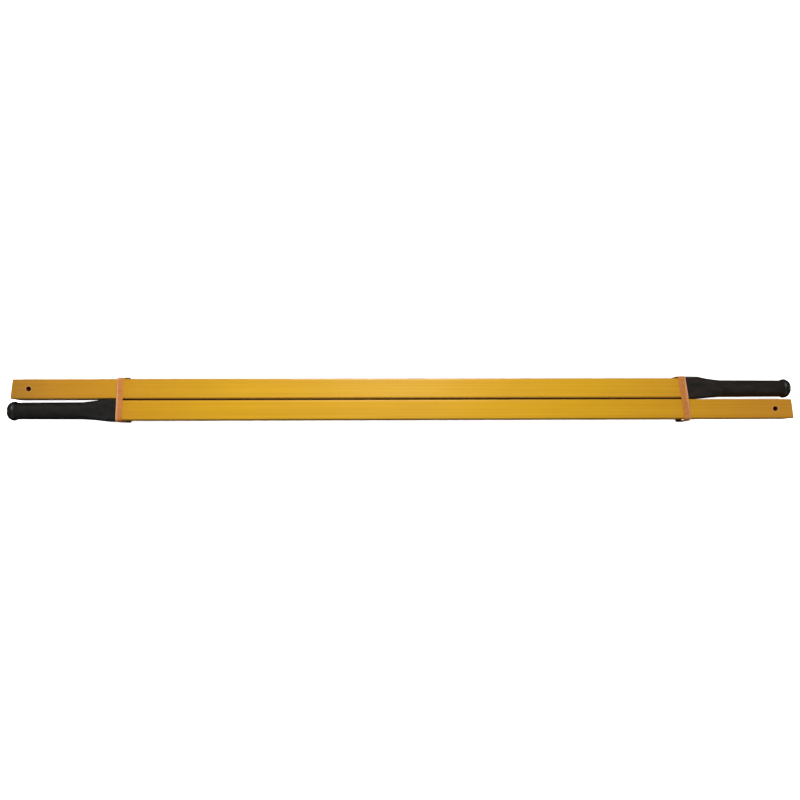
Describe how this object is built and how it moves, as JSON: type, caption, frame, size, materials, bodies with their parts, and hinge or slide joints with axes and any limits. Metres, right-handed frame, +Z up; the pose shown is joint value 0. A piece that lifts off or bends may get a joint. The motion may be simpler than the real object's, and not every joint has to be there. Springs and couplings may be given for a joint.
{
  "type": "banded pair of barrow handles",
  "caption": "Two long square fibreglass barrow handles with moulded round grips and cross bolt holes, laid head to tail and held together by flat rubber bands.",
  "frame": {"origin": "middle of the bundle's box in X and Y, on the plane that the bands' undersides rest on", "axes": "+X along the handles, from the front handle's grip to its bolt hole; +Y from the front handle to the back one; +Z up, along the bolt holes"},
  "size_m": [1.528, 0.0886, 0.0455],
  "materials": {
    "fibreglass": "glossy pultruded, golden yellow",
    "grip_rubber": "moulded, satin black",
    "core_plastic": "moulded, dark grey",
    "steel": "zinc plated",
    "band_rubber": "matte, tan"
  },
  "bodies": {
    "front_handle": {"front_tube": "fibreglass", "front_grip": "grip_rubber", "front_grip_core": "core_plastic", "front_core_pin": "steel", "front_nose_plug": "core_plastic", "front_bolt_sleeve": "steel"},
    "back_handle": {"back_tube": "fibreglass", "back_grip": "grip_rubber", "back_grip_core": "core_plastic", "back_core_pin": "steel", "back_nose_plug": "core_plastic", "back_bolt_sleeve": "steel"},
    "left_band": {"left_band": "band_rubber"},
    "right_band": {"right_band": "band_rubber"}
  },
  "joints": [
    {"name": "back_handle_draw", "type": "slide", "parent": "front_handle", "child": "back_handle", "axis": [1, 0, 0], "range_m": [0, 1.32]},
    {"name": "left_band_slip", "type": "slide", "parent": "front_handle", "child": "left_band", "axis": [-1, 0, 0], "range_m": [0, 0.24]},
    {"name": "right_band_slip", "type": "slide", "parent": "front_handle", "child": "right_band", "axis": [1, 0, 0], "range_m": [0, 0.245]}
  ]
}
